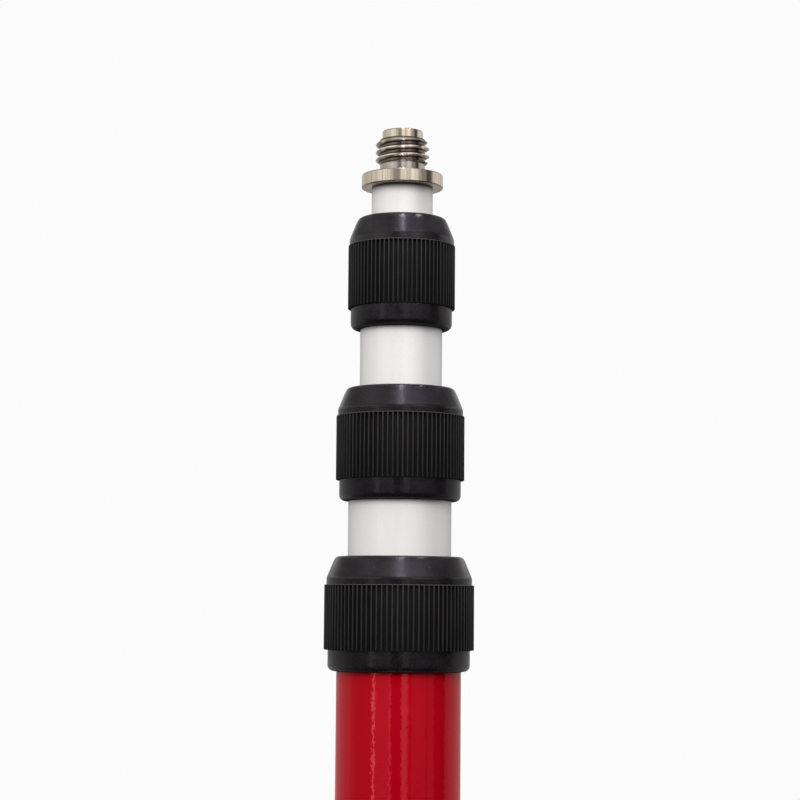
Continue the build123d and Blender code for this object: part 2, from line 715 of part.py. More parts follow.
def chamber():
    """Room for the liquid between the plug and the vaulted ceiling."""
    height = DOME_TOP - LIQUID_BOTTOM
    return Pos(0, 0, LIQUID_BOTTOM) * upright_cylinder(2 * LIQUID_R, height) & dome()


def vial_capsule():
    """Clear capsule, open below, with a vaulted ceiling that the bubble rises to."""
    body = Pos(0, 0, CAPSULE_BOTTOM) * upright_cylinder(2 * CAPSULE_R, CAPSULE_HEIGHT)
    plug_room = Pos(0, 0, CAPSULE_BOTTOM) * upright_cylinder(2 * LIQUID_R, PLUG_HEIGHT)
    return at_vial(body - plug_room - chamber())


def vial_plug():
    """Disc that closes the capsule from below."""
    return at_vial(Pos(0, 0, CAPSULE_BOTTOM) * upright_cylinder(2 * LIQUID_R, PLUG_HEIGHT))


def vial_liquid():
    """Liquid with the lens-shaped bubble left out at the top of the vault."""
    bubble_r = BUBBLE_OD / 2
    lens_radius = (bubble_r**2 + BUBBLE_DEPTH**2) / (2 * BUBBLE_DEPTH)
    bubble = Pos(0, 0, DOME_TOP - BUBBLE_DEPTH + lens_radius) * Sphere(lens_radius)
    return at_vial(chamber() - bubble)


def vial_bezel():
    """Ring on the cup's rim that keeps the capsule in."""
    inner_r = CUP_R - BEZEL_REACH
    return at_vial(turned(
        (inner_r, CUP_TOP),
        (CUP_R, CUP_TOP),
        (CUP_R, CUP_TOP + BEZEL_HEIGHT, BEZEL_ROUND),
        (inner_r, CUP_TOP + BEZEL_HEIGHT, BEZEL_ROUND),
    ))


LOWER_LOCK = Lock("lower_lock", OUTER_R, LOWER_R, LOWER_NUT_BOTTOM, LOWER_LIP_WALL, LOWER_RIBS)
MIDDLE_LOCK = Lock("middle_lock", LOWER_R, MIDDLE_R, MIDDLE_NUT_BOTTOM, MIDDLE_LIP_WALL, MIDDLE_RIBS)
UPPER_LOCK = Lock("upper_lock", MIDDLE_R, UPPER_R, UPPER_NUT_BOTTOM, UPPER_LIP_WALL, UPPER_RIBS)

nodes = {
    "outer_tube": outer_tube(LOWER_LOCK),
    "lower_tube": inner_tube(LOWER_R, LOWER_GUIDE_BOTTOM, LOWER_TOP)
    - MIDDLE_LOCK.pins(MIDDLE_LOCK.bore_r, LOWER_R + CUT_OVERSHOOT),
    "middle_tube": inner_tube(MIDDLE_R, MIDDLE_GUIDE_BOTTOM, MIDDLE_TOP)
    - UPPER_LOCK.pins(UPPER_LOCK.bore_r, MIDDLE_R + CUT_OVERSHOOT),
    "upper_tube": upper_tube(),
    "prism_stud": prism_stud(),
    "stud_cross_pin": stud_cross_pin(PIN_SINK),
    "point_holder": point_holder(),
    "point_holder_pins": Compound(children=holder_pin_set(OUTER_R - PIN_SINK)),
    "point": point(),
    "bump_stop": bump_stop(),
    "level_arm": level_arm(),
    "level_clamp_back": level_clamp_back(),
    "level_clamp_screws": level_clamp_screws(),
    "level_clamp_nuts": level_clamp_nuts(),
    "vial_pad": vial_pad(),
    "vial_cup": vial_cup(),
    "vial_capsule": vial_capsule(),
    "vial_plug": vial_plug(),
    "vial_liquid": vial_liquid(),
    "vial_bezel": vial_bezel(),
    "vial_adjusting_screws": vial_adjusting_screws(),
}

for lock in (LOWER_LOCK, MIDDLE_LOCK, UPPER_LOCK):
    nodes[lock.name + "_nut"] = lock_nut(lock)
    nodes[lock.name + "_grip"] = lock_grip(lock)
    nodes[lock.name + "_base"] = lock_base(lock)
    nodes[lock.name + "_collet"] = lock_collet(lock)
    nodes[lock.name + "_slip_ring"] = lock_slip_ring(lock)
    nodes[lock.name + "_base_pins"] = base_pins(lock)

GUIDES = {
    "lower_tube": (LOWER_R, LOWER_GUIDE_BOTTOM),
    "middle_tube": (MIDDLE_R, MIDDLE_GUIDE_BOTTOM),
    "upper_tube": (UPPER_R, UPPER_GUIDE_BOTTOM),
}
for name, (tube_r, guide_bottom) in GUIDES.items():
    nodes[name + "_guide"] = guide(tube_r, guide_bottom)
    nodes[name + "_guide_pins"] = guide_pins(tube_r, guide_bottom)

os.makedirs("parts", exist_ok=True)
for name, shape in nodes.items():
    export_step(shape, f"parts/{name}.step")
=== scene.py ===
"""Survey prism pole: rubber grips, lock nuts, level, finishes and the studio it stands in."""
import json
import math

import bmesh
import bpy
from mathutils import Matrix, Vector

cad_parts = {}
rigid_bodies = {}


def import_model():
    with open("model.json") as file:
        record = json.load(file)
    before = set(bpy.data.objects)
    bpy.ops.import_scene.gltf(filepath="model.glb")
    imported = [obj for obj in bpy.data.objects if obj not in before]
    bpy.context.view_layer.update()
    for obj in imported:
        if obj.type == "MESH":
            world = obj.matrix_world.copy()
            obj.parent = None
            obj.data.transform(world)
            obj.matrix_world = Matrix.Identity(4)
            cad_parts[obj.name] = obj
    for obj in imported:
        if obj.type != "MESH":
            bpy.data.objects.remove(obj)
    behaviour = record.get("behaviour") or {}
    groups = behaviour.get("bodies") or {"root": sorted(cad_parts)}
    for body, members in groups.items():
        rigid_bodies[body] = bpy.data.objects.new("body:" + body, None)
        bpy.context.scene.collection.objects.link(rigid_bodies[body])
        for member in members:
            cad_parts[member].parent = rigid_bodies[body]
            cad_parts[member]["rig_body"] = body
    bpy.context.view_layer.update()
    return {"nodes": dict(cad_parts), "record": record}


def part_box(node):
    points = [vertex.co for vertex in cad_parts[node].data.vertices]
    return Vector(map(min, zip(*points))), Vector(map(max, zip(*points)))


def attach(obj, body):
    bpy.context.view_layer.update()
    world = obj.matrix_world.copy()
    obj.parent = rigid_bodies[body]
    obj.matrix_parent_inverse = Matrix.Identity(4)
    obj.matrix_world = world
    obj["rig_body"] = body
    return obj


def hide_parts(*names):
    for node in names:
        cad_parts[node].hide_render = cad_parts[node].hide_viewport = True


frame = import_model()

MM = 0.001

# Finish of each node, as the record names it.
SLOTS = {row["node"]: row["material_slot"] for row in frame["record"]["subparts"]}

# Points closer than the first are one point; points closer than the second to a plane or a radius lie on it.
MERGE = 0.002 * MM
TOUCH = 0.01 * MM
# Heights are told apart to the micrometre.
HEIGHT_DIGITS = 6
# Share of a face's normal along an axis: square to the axis above the first, upright below the second.
SQUARE_ON = 0.9
UPRIGHT = 0.6
# Angles in degrees: flatter faces are made one, and sharper edges are drawn, eased or rounded.
FLAT_WITHIN = 0.5
DRAWN_EDGE = 35
EASED_EDGE = 40
ROUNDED_EDGE = 50
ROUND_STEPS = 2

# Grips: ribs round a rubber band that fills the nut's recess.
GRIP_RIBS = {"lower": 90, "middle": 81, "upper": 72}
GRIP_THICKNESS = 1.6 * MM
RIB_DEPTH = 0.95 * MM
RIB_SHARE = 0.44
RIB_SINK = 0.15 * MM
RIB_DRAFT = 0.64
RIB_ROUND = 0.10 * MM
RIB_END_ROUND = 0.28 * MM
RIB_SIDE = 0.3
BAND_EDGE_ROUND = 0.18 * MM
BAND_FACES_PER_RIB = 2
# Closed rim on top of the ribs; its paler edge, worn and with a painted highlight, is marked by a rib height
# of its own.
RIM_HEIGHT = 0.26 * MM
RIM_DROP = 0.03 * MM
RIM_ROUND = 0.1 * MM
WORN_AND_HIGHLIT_RIM = 2.0

# Corner between a nut's cone and the band under it; its wall is within CORNER_WALL of the band's radius.
CONE_HEIGHT = 6.25 * MM
CONE_HALF_ANGLE = 22.0
CORNER_REACH = 0.5 * MM
CORNER_STEPS = 6
CORNER_WALL = 1.0 * MM
# The cone's wall falls inwards a little towards its top, and is within CROWN_WALL of the band's radius.
CROWN_HEIGHT = 2.2 * MM
CROWN_FALL = 0.2 * MM
CROWN_STEPS = 5
CROWN_WALL = 3.4 * MM

# Underside of a nut's lip, which hands don't polish: how high it reaches, and the height over which it fades.
DULL_TOP = 0.5 * MM
DULL_FADE = 0.35 * MM
# Wiper ring in the mouth of a nut's skirt, round the tube that carries the nut: its reach from the tube at
# its top and at its foot, and the part of that reach that is its bore's.
CARRYING_TUBE = {"lower": "outer_tube", "middle": "lower_tube", "upper": "middle_tube"}
WIPER_REACH = {"lower": 1.75 * MM, "middle": 1.9 * MM, "upper": 2.05 * MM}
WIPER_FOOT_REACH = 0.35 * MM
WIPER_GAP = 0.08 * MM
WIPER_WALL = 0.32 * MM
WIPER_DROP = 0.12 * MM
WIPER_SINK = 0.6 * MM
WIPER_ROUND = 0.03 * MM
WIPER_SEGMENTS = 180

# Heights on the stud, down from its top: the seam under its flange, the flange's top and the thread's ends.
STUD_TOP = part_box("prism_stud")[1].z
STUD_SEAM = STUD_TOP - 17.1 * MM
STUD_SEAT = STUD_TOP - 13.15 * MM
THREAD_BOTTOM = STUD_TOP - 10.4 * MM
THREAD_TOP = STUD_TOP - 2.6 * MM
THREAD_CREST_R = 7.9 * MM
# Painted shade and dirt on the tube, down from the seam; painted shade and dirt in the thread, in from its
# crests, and its fade at the neck.
SEAM_SHADE_AND_DIRT = (0.7 * MM, 0.1 * MM)
GROOVE_SHADE_AND_DIRT_DEPTH = (0.35 * MM, 1.0 * MM)
NECK_SHADE_AND_DIRT_FADE = 0.5 * MM
# Heights on the point between which its stains from soil grow.
SOIL_START = 46 * MM
SOIL_FULL = 4 * MM

# Edges of the level's bracket, its screws and the point are eased by this much.
CASTING_EDGE = 0.6 * MM
SCREW_EDGE = 0.2 * MM
POINT_EDGE = 0.25 * MM

# The spirit goes this far into the walls round it, so that no two clear faces share a place.
SPIRIT_OVERLAP = (1.006, 1.006, 1.02)

# Circle printed on the vial's window.
TARGET_OUTER_R = 5.0 * MM
TARGET_WIDTH = 0.4 * MM
TARGET_THICKNESS = 0.06 * MM
TARGET_ROUND = 0.015 * MM
TARGET_SEGMENTS = 72

# Viewpoint of the photograph.
CAMERA_PLACE = (-0.0002, -0.605, 1.270)
CAMERA_TILT = 5.652
CAMERA_ROLL = 0.45
CAMERA_LENS = 93.6

# Pale disc under the pole: how far it shows, straight and in reflections, before it has faded into the white.
FLOOR_RADIUS = 3.0
FLOOR_SEGMENTS = 96
FLOOR_GREYS = (0.56, 0.59)
FLOOR_REACH = 2.6
FLOOR_REFLECTED_REACH = 0.35
FLOOR_FADE_START = 0.25

# Sockets that carry the two colours into a mix, and the mixed one out of it.
FIRST_COLOUR = 6
SECOND_COLOUR = 7
MIXED_COLOUR = 2


def clear_selection():
    if bpy.context.mode != "OBJECT":
        bpy.ops.object.mode_set(mode="OBJECT")
    bpy.ops.object.select_all(action="DESELECT")


def new_piece(name):
    piece = bpy.context.active_object
    piece.name = piece.data.name = name
    return piece


def place_in_mesh(piece):
    """Leaves the object at the origin and its place in its points."""
    bpy.ops.object.transform_apply(location=True, rotation=True, scale=True)
    return piece


def open_mesh(piece, kind):
    """Edit mode on one piece, with nothing selected in it."""
    clear_selection()
    piece.select_set(True)
    bpy.context.view_layer.objects.active = piece
    bpy.ops.object.mode_set(mode="EDIT")
    bpy.ops.mesh.select_mode(type=kind)
    bpy.ops.mesh.select_all(action="DESELECT")


def close_mesh(piece):
    bpy.ops.mesh.select_all(action="SELECT")
    bpy.ops.mesh.remove_doubles(threshold=MERGE)
    bpy.ops.mesh.normals_make_consistent(inside=False)
    bpy.ops.object.mode_set(mode="OBJECT")
    return piece


def middle_of(element):
    points = [v.co for v in element.verts]
    return sum(points, Vector()) / len(points)


def radius_of(point):
    return math.hypot(point.x, point.y)


def pick(piece, kind, wanted):
    """Selects the edges or faces of an open mesh that pass a test."""
    mesh = bmesh.from_edit_mesh(piece.data)
    bpy.ops.mesh.select_all(action="DESELECT")
    for element in (mesh.edges if kind == "EDGE" else mesh.faces):
        if wanted(element):
            element.select = True
    mesh.select_flush_mode()
    bmesh.update_edit_mesh(piece.data)


def smooth(piece):
    clear_selection()
    piece.select_set(True)
    bpy.context.view_layer.objects.active = piece
    bpy.ops.object.shade_smooth_by_angle(angle=math.radians(DRAWN_EDGE))
    return piece


def join(first, *others):
    clear_selection()
    for piece in (first, *others):
        piece.select_set(True)
    bpy.context.view_layer.objects.active = first
    bpy.ops.object.join()
    return first


def wear(piece, node):
    """Puts a piece in the place of a node, on the same body and with the same finish."""
    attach(piece, frame["nodes"][node]["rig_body"])
    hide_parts(node)
    finish_piece(piece, SLOTS[node])


def copy_of(node, name):
    """Copy of a node's mesh with its doubled points merged and its flat faces whole again."""
    clear_selection()
    piece = bpy.data.objects.new(name, frame["nodes"][node].data.copy())
    piece.data.name = name
    bpy.context.scene.collection.objects.link(piece)
    open_mesh(piece, "VERT")
    bpy.ops.mesh.select_all(action="SELECT")
    bpy.ops.mesh.remove_doubles(threshold=MERGE)
    bpy.ops.mesh.dissolve_limited(angle_limit=math.radians(FLAT_WITHIN))
    bpy.ops.mesh.customdata_custom_splitnormals_clear()
    return close_mesh(piece)


def ring(name, outer_r, inner_r, bottom, top, segments, edge_round):
    """Band round the pole's axis, with its two outer edges rounded."""
    clear_selection()
    bpy.ops.mesh.primitive_cylinder_add(vertices=segments, radius=outer_r, depth=top - bottom,
                                        location=(0, 0, (top + bottom) / 2))
    band = place_in_mesh(new_piece(name))
    open_mesh(band, "FACE")
    pick(band, "FACE", lambda face: abs(face.normal.z) > SQUARE_ON)
    bpy.ops.mesh.inset(thickness=outer_r - inner_r)
    bpy.ops.mesh.bridge_edge_loops()
    bpy.ops.mesh.select_mode(type="EDGE")
    pick(band, "EDGE", lambda edge: all(radius_of(v.co) > outer_r - TOUCH for v in edge.verts)
         and abs(edge.verts[0].co.z - edge.verts[1].co.z) < TOUCH)
    bpy.ops.mesh.bevel(offset=edge_round, segments=ROUND_STEPS)
    return close_mesh(band)


def rib(name, floor_r, crest_r, width, bottom, top, angle):
    """One upright rib with draft on its sides, a rounded crest and rounded ends."""
    clear_selection()
    foot_r = floor_r - RIB_SINK
    middle_r = (foot_r + crest_r) / 2
    bpy.ops.mesh.primitive_cube_add(size=1.0, location=(middle_r, 0, (top + bottom) / 2),
                                    scale=(crest_r - foot_r, width, top - bottom))
    block = place_in_mesh(new_piece(name))
    open_mesh(block, "FACE")
    pick(block, "FACE", lambda face: face.normal.x > SQUARE_ON)
    bpy.ops.transform.resize(value=(1, RIB_DRAFT, 1))
    bpy.ops.mesh.select_mode(type="EDGE")
    pick(block, "EDGE", lambda edge: middle_of(edge).x > crest_r - TOUCH and abs(middle_of(edge).y) < TOUCH)
    bpy.ops.mesh.bevel(offset=RIB_END_ROUND, segments=ROUND_STEPS)
    pick(block, "EDGE", lambda edge: edge.calc_face_angle(0.0) > math.radians(ROUNDED_EDGE)
         and all(v.co.x > floor_r for v in edge.verts) and abs(middle_of(edge).y) > RIB_SIDE * width)
    bpy.ops.mesh.bevel(offset=RIB_ROUND, segments=ROUND_STEPS)
    bpy.ops.mesh.select_all(action="SELECT")
    bpy.ops.transform.rotate(value=-angle, orient_axis="Z", center_override=(0, 0, 0))
    return close_mesh(block)


def ribbed_grip(place):
    """Rubber grip of one lock: the ribs are one rib turned round the axis."""
    low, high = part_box(f"{place}_lock_grip")
    crest_r = high.x
    floor_r = crest_r - RIB_DEPTH
    inner_r = crest_r - GRIP_THICKNESS
    count = GRIP_RIBS[place]
    faces = BAND_FACES_PER_RIB * count
    pitch = 2 * math.pi / count
    grip = ring(f"{place}_grip", floor_r, inner_r, low.z, high.z, faces, BAND_EDGE_ROUND)
    ribs = rib(f"{place}_grip_rib", floor_r, crest_r, RIB_SHARE * pitch * crest_r, low.z, high.z,
               RIB_SHARE * pitch / 2)
    open_mesh(ribs, "VERT")
    bpy.ops.mesh.select_all(action="SELECT")
    bpy.ops.mesh.spin(steps=count - 1, dupli=True, angle=2 * math.pi - pitch, center=(0, 0, 0),
                      axis=(0, 0, 1))
    close_mesh(ribs)
    rim_foot = high.z - RIM_HEIGHT
    rim = ring(f"{place}_grip_rim", crest_r - RIM_DROP, inner_r, rim_foot, high.z, faces, RIM_ROUND)
    grip = smooth(join(grip, ribs, rim))
    height = grip.data.attributes.new("rib_height", "FLOAT", "POINT")
    for point, value in zip(grip.data.vertices, height.data):
        on_rim = point.co.z > rim_foot and radius_of(point.co) > crest_r - RIB_SINK
        value.value = WORN_AND_HIGHLIT_RIM if on_rim else (radius_of(point.co) - floor_r) / RIB_DEPTH
    wear(grip, f"{place}_lock_grip")


def cut_wall(nut, height, least_r):
    """Cuts the outer wall of an open mesh level at a height, where no ring of edges is there yet."""
    pick(nut, "FACE", lambda face: all(radius_of(v.co) > least_r for v in face.verts)
         and abs(face.normal.z) < UPRIGHT and face.normal.xy.dot(middle_of(face).xy) > 0
         and min(v.co.z for v in face.verts) < height - MERGE
         and max(v.co.z for v in face.verts) > height + MERGE)
    if nut.data.total_face_sel:
        bpy.ops.mesh.bisect(plane_co=(0, 0, height), plane_no=(0, 0, 1))


def shape_wall(nut, bottom, top, least_r, wanted_r):
    """Brings each ring of edges of the outer wall to the radius that a rule gives for its height."""
    points = [v.co for v in bmesh.from_edit_mesh(nut.data).verts]
    heights = sorted({round(point.z, HEIGHT_DIGITS) for point in points
                      if bottom + MERGE < point.z < top - MERGE and radius_of(point) > least_r})
    for height in heights:
        pick(nut, "EDGE", lambda edge: all(abs(v.co.z - height) < MERGE and radius_of(v.co) > least_r
                                           for v in edge.verts))
        now_r = max(radius_of(v.co) for v in bmesh.from_edit_mesh(nut.data).verts if v.select)
        scale = wanted_r(height, now_r) / now_r
        bpy.ops.transform.resize(value=(scale, scale, 1), center_override=(0, 0, height))


def nut_shell(place):
    """Lock nut with a small curve between its cone and its band, and a slight crown on the cone."""
    node = f"{place}_lock_nut"
    nut = copy_of(node, f"{place}_nut_shell")
    low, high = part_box(node)
    band_r = high.x
    foot = high.z - CONE_HEIGHT
    curve_r = CORNER_REACH / math.tan(math.radians(CONE_HALF_ANGLE / 2))
    start = foot - CORNER_REACH
    end = foot + CORNER_REACH * math.cos(math.radians(CONE_HALF_ANGLE))
    crown = high.z - CROWN_HEIGHT

    def crowned(height, now_r):
        return now_r - CROWN_FALL * ((height - crown) / CROWN_HEIGHT) ** 2

    def curved(height, now_r):
        return band_r - curve_r + math.sqrt(curve_r ** 2 - (height - start) ** 2)

    open_mesh(nut, "FACE")
    for step in range(CORNER_STEPS + 1):
        cut_wall(nut, start + (end - start) * step / CORNER_STEPS, band_r - CROWN_WALL)
    for step in range(CROWN_STEPS):
        cut_wall(nut, crown + CROWN_HEIGHT * step / CROWN_STEPS, band_r - CROWN_WALL)
    bpy.ops.mesh.select_mode(type="EDGE")
    shape_wall(nut, crown, high.z + MM, band_r - CROWN_WALL, crowned)
    shape_wall(nut, start, end, band_r - CORNER_WALL, curved)
    close_mesh(nut)
    dull = nut.data.attributes.new("dull", "FLOAT", "POINT")
    for value, point in zip(dull.data, nut.data.vertices):
        value.value = min(1.0, max(0.0, (low.z + DULL_TOP - point.co.z) / DULL_FADE))
    wear(smooth(nut), node)


def wiper_ring(place):
    """Ring that fills the mouth of a nut's skirt and tapers down to the tube."""
    tube_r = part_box(CARRYING_TUBE[place])[1].x
    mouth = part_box(f"{place}_lock_nut")[0].z
    outer_r = tube_r + WIPER_REACH[place]
    foot = mouth - WIPER_DROP
    wiper = ring(f"{place}_wiper", outer_r, tube_r + WIPER_GAP, foot, mouth + WIPER_SINK, WIPER_SEGMENTS,
                 WIPER_ROUND)
    open_mesh(wiper, "EDGE")
    pick(wiper, "EDGE", lambda edge: all(v.co.z < foot + 2 * WIPER_ROUND
                                         and radius_of(v.co) > tube_r + WIPER_WALL for v in edge.verts))
    taper = (tube_r + WIPER_FOOT_REACH) / outer_r
    bpy.ops.transform.resize(value=(taper, taper, 1), center_override=(0, 0, foot))
    smooth(close_mesh(wiper))
    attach(wiper, frame["nodes"][f"{place}_lock_nut"]["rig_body"])
    finish_piece(wiper, "stop_rubber")


def softened(node, name, width):
    """A node's shape with its sharp edges eased."""
    piece = copy_of(node, name)
    bevel = piece.modifiers.new("eased_edges", "BEVEL")
    bevel.width = width
    bevel.segments = ROUND_STEPS
    bevel.limit_method = "ANGLE"
    bevel.angle_limit = math.radians(EASED_EDGE)
    bpy.ops.object.modifier_apply(modifier=bevel.name)
    wear(smooth(piece), node)


def vial_spirit():
    """Spirit of the vial, with the hollow of the bubble, a little larger than its chamber."""
    spirit = copy_of("vial_liquid", "vial_spirit")
    low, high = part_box("vial_liquid")
    open_mesh(spirit, "VERT")
    bpy.ops.mesh.select_all(action="SELECT")
    bpy.ops.transform.resize(value=SPIRIT_OVERLAP, center_override=(low + high) / 2)
    wear(smooth(close_mesh(spirit)), "vial_liquid")


def target_circle():
    """Circle on the vial's window that the bubble is brought into."""
    low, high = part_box("vial_capsule")
    circle = ring("vial_target_circle", TARGET_OUTER_R, TARGET_OUTER_R - TARGET_WIDTH,
                  high.z - TARGET_THICKNESS / 2, high.z + TARGET_THICKNESS / 2, TARGET_SEGMENTS, TARGET_ROUND)
    open_mesh(circle, "VERT")
    bpy.ops.mesh.select_all(action="SELECT")
    bpy.ops.transform.translate(value=(0, (low.y + high.y) / 2, 0))
    smooth(close_mesh(circle))
    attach(circle, "outer_section")
    finish_piece(circle, "vial_housing")


def grey(level):
    return (level, level, level, 1.0)


class Pattern:
    """Nodes of one finish, or of the studio round the pole."""

    def __init__(self, tree):
        self.tree = tree

    def node(self, kind, inputs=None, **settings):
        node = self.tree.nodes.new("ShaderNode" + kind)
        for name, value in settings.items():
            setattr(node, name, value)
        for name, value in (inputs or {}).items():
            self.feed(node.inputs[name], value)
        return node

    def feed(self, socket, value):
        if isinstance(value, bpy.types.NodeSocket):
            self.tree.links.new(value, socket)
        else:
            socket.default_value = value

    def math(self, operation, first, second):
        return self.node("Math", {0: first, 1: second}, operation=operation).outputs["Value"]

    def times(self, first, second):
        return self.math("MULTIPLY", first, second)

    def spread(self, value, low, high, to_low=0.0, to_high=1.0, interpolation_type="LINEAR"):
        """The range from low to high, mapped to another one."""
        inputs = {"Value": value, "From Min": low, "From Max": high, "To Min": to_low, "To Max": to_high}
        return self.node("MapRange", inputs, interpolation_type=interpolation_type).outputs["Result"]

    def steps(self, value, stops):
        """Greys that change from stop to stop; a stop is a position and a level."""
        ramp = self.node("ValToRGB", {"Fac": value})
        elements = ramp.color_ramp.elements
        for element, (position, level) in zip(elements, (stops[0], stops[-1])):
            element.position = position
            element.color = grey(level)
        for position, level in stops[1:-1]:
            elements.new(position).color = grey(level)
        return ramp.outputs["Color"]


class Finish(Pattern):
    """A principled surface whose colour, gloss and relief come from patterns on Object coordinates."""

    def __init__(self, name, settings):
        self.material = bpy.data.materials.new(name)
        self.material.use_nodes = True
        super().__init__(self.material.node_tree)
        self.surface = self.tree.nodes["Principled BSDF"]
        for socket, value in settings.items():
            self.surface.inputs[socket].default_value = value
        self.place = self.node("TexCoord").outputs["Object"]

    def stretched(self, x, y, z):
        """Coordinates in patterns per metre along each axis."""
        return self.node("Mapping", {"Vector": self.place, "Scale": (x, y, z)}).outputs["Vector"]

    def radius(self):
        """Distance from the axis."""
        flat = self.node("VectorMath", {0: self.place, 1: (1, 1, 0)}, operation="MULTIPLY")
        return self.node("VectorMath", {0: flat.outputs["Vector"]}, operation="LENGTH").outputs["Value"]

    def height(self):
        return self.node("SeparateXYZ", {"Vector": self.place}).outputs["Z"]

    def turned(self, per_metre):
        """Coordinates that only change with the distance from the axis and with the height."""
        together = self.node("CombineXYZ", {"X": self.radius(), "Y": self.height()}).outputs["Vector"]
        return self.node("VectorMath", {0: together, "Scale": per_metre}, operation="SCALE").outputs["Vector"]

    def attribute(self, name):
        return self.node("Attribute", attribute_name=name).outputs["Fac"]

    def noise(self, vector, scale=1.0, detail=2.0, roughness=0.5):
        inputs = {"Vector": vector, "Scale": scale, "Detail": detail, "Roughness": roughness}
        return self.node("TexNoise", inputs).outputs["Fac"]

    def mixed(self, share, first, second):
        inputs = {"Factor": share, FIRST_COLOUR: first, SECOND_COLOUR: second}
        return self.node("Mix", inputs, data_type="RGBA").outputs[MIXED_COLOUR]

    def relief(self, height, depth, under=None):
        """Bump of a given depth in metres, over another bump."""
        inputs = {"Height": height, "Distance": depth, "Strength": 1.0}
        if under is not None:
            inputs["Normal"] = under
        return self.node("Bump", inputs).outputs["Normal"]

    def colour(self, value):
        self.feed(self.surface.inputs["Base Color"], value)

    def roughness(self, value):
        self.feed(self.surface.inputs["Roughness"], value)

    def normal(self, value):
        self.feed(self.surface.inputs["Normal"], value)


def red_paint():
    """Clear red lacquer over bright metal, with a fine orange peel that breaks up its reflections."""
    deep = (0.430, 0.0004, 0.0085, 1)
    light = (0.460, 0.0008, 0.0100, 1)
    paint = Finish("red_paint", {"Metallic": 0.4, "Specular IOR Level": 0.0, "Coat Weight": 0.9,
                                 "Coat Roughness": 0.03, "Coat IOR": 1.5, "Sheen Weight": 0.22,
                                 "Sheen Roughness": 0.5, "Sheen Tint": (1.0, 0.01, 0.02, 1)})
    cloud = paint.noise(paint.place, scale=40, detail=3)
    peel = paint.noise(paint.place, scale=640, detail=1)
    grain = paint.noise(paint.place, scale=1900, detail=2)
    paint.colour(paint.mixed(paint.spread(cloud, 0.35, 0.65), deep, light))
    paint.roughness(paint.spread(grain, 0.3, 0.7, 0.12, 0.18))
    uneven = paint.relief(grain, 0.003 * MM, under=paint.relief(peel, 0.040 * MM))
    paint.normal(uneven)
    paint.feed(paint.surface.inputs["Coat Normal"], uneven)
    return paint.material


def pale_anodised():
    """Pale matt-etched aluminium tube with faint drawing lines along its length, and painted shade under the
    flange.
    """
    skin = Finish("pale_anodised", {"Metallic": 0.5})
    lines = skin.noise(skin.stretched(2600, 2600, 14), detail=3, roughness=0.6)
    cloud = skin.noise(skin.place, scale=55, detail=4)
    etched = skin.noise(skin.place, scale=3200, detail=2)
    drawn = skin.mixed(skin.spread(lines, 0.3, 0.7), (0.90, 0.89, 0.87, 1), (0.93, 0.92, 0.90, 1))
    spotted = skin.mixed(skin.spread(etched, 0.52, 0.72, 0.0, 0.7), drawn, (0.80, 0.79, 0.76, 1))
    clouded = skin.mixed(skin.spread(cloud, 0.35, 0.7, 0.0, 0.6), spotted, (0.86, 0.85, 0.82, 1))
    # Band under the stud's flange darkened: painted shade of the flange, with some dirt in the seam.
    seam = skin.spread(skin.height(), STUD_SEAM - SEAM_SHADE_AND_DIRT[0], STUD_SEAM - SEAM_SHADE_AND_DIRT[1])
    skin.colour(skin.mixed(seam, clouded, (0.14, 0.11, 0.06, 1)))
    skin.roughness(skin.spread(etched, 0.3, 0.7, 0.38, 0.46))
    skin.normal(skin.relief(etched, 0.004 * MM, under=skin.relief(lines, 0.002 * MM)))
    return skin.material


def black_moulding():
    """Black moulded plastic: half-gloss skin, fine grain, scuffs and dust, dull where it is marked so."""
    black = (0.0040, 0.0036, 0.0041, 1)
    scuffed = (0.0078, 0.0072, 0.0078, 1)
    specked = (0.0130, 0.0122, 0.0134, 1)
    dusty = (0.03, 0.029, 0.028, 1)
    plastic = Finish("black_moulding", {"IOR": 1.53, "Specular Tint": (1.0, 0.89, 0.97, 1),
                                        "Sheen Weight": 0.08, "Sheen Roughness": 0.35})
    grain = plastic.noise(plastic.place, scale=1400, detail=1)
    scuff = plastic.noise(plastic.stretched(160, 160, 420), detail=5, roughness=0.7)
    dust = plastic.noise(plastic.place, scale=900, detail=2)
    speck = plastic.noise(plastic.place, scale=2600, detail=2)
    worn = plastic.mixed(plastic.spread(scuff, 0.5, 0.8), black, scuffed)
    grained = plastic.mixed(plastic.spread(speck, 0.52, 0.70), worn, specked)
    plastic.colour(plastic.mixed(plastic.spread(dust, 0.74, 0.80), grained, dusty))
    dull = plastic.attribute("dull")
    polish = plastic.spread(scuff, 0.35, 0.7, 0.16, 0.26)
    plastic.roughness(plastic.math("ADD", polish, plastic.times(dull, 0.45)))
    plastic.feed(plastic.surface.inputs["Specular IOR Level"], plastic.spread(dull, 0.0, 1.0, 0.5, 0.10))
    plastic.normal(plastic.relief(grain, 0.020 * MM))
    return plastic.material


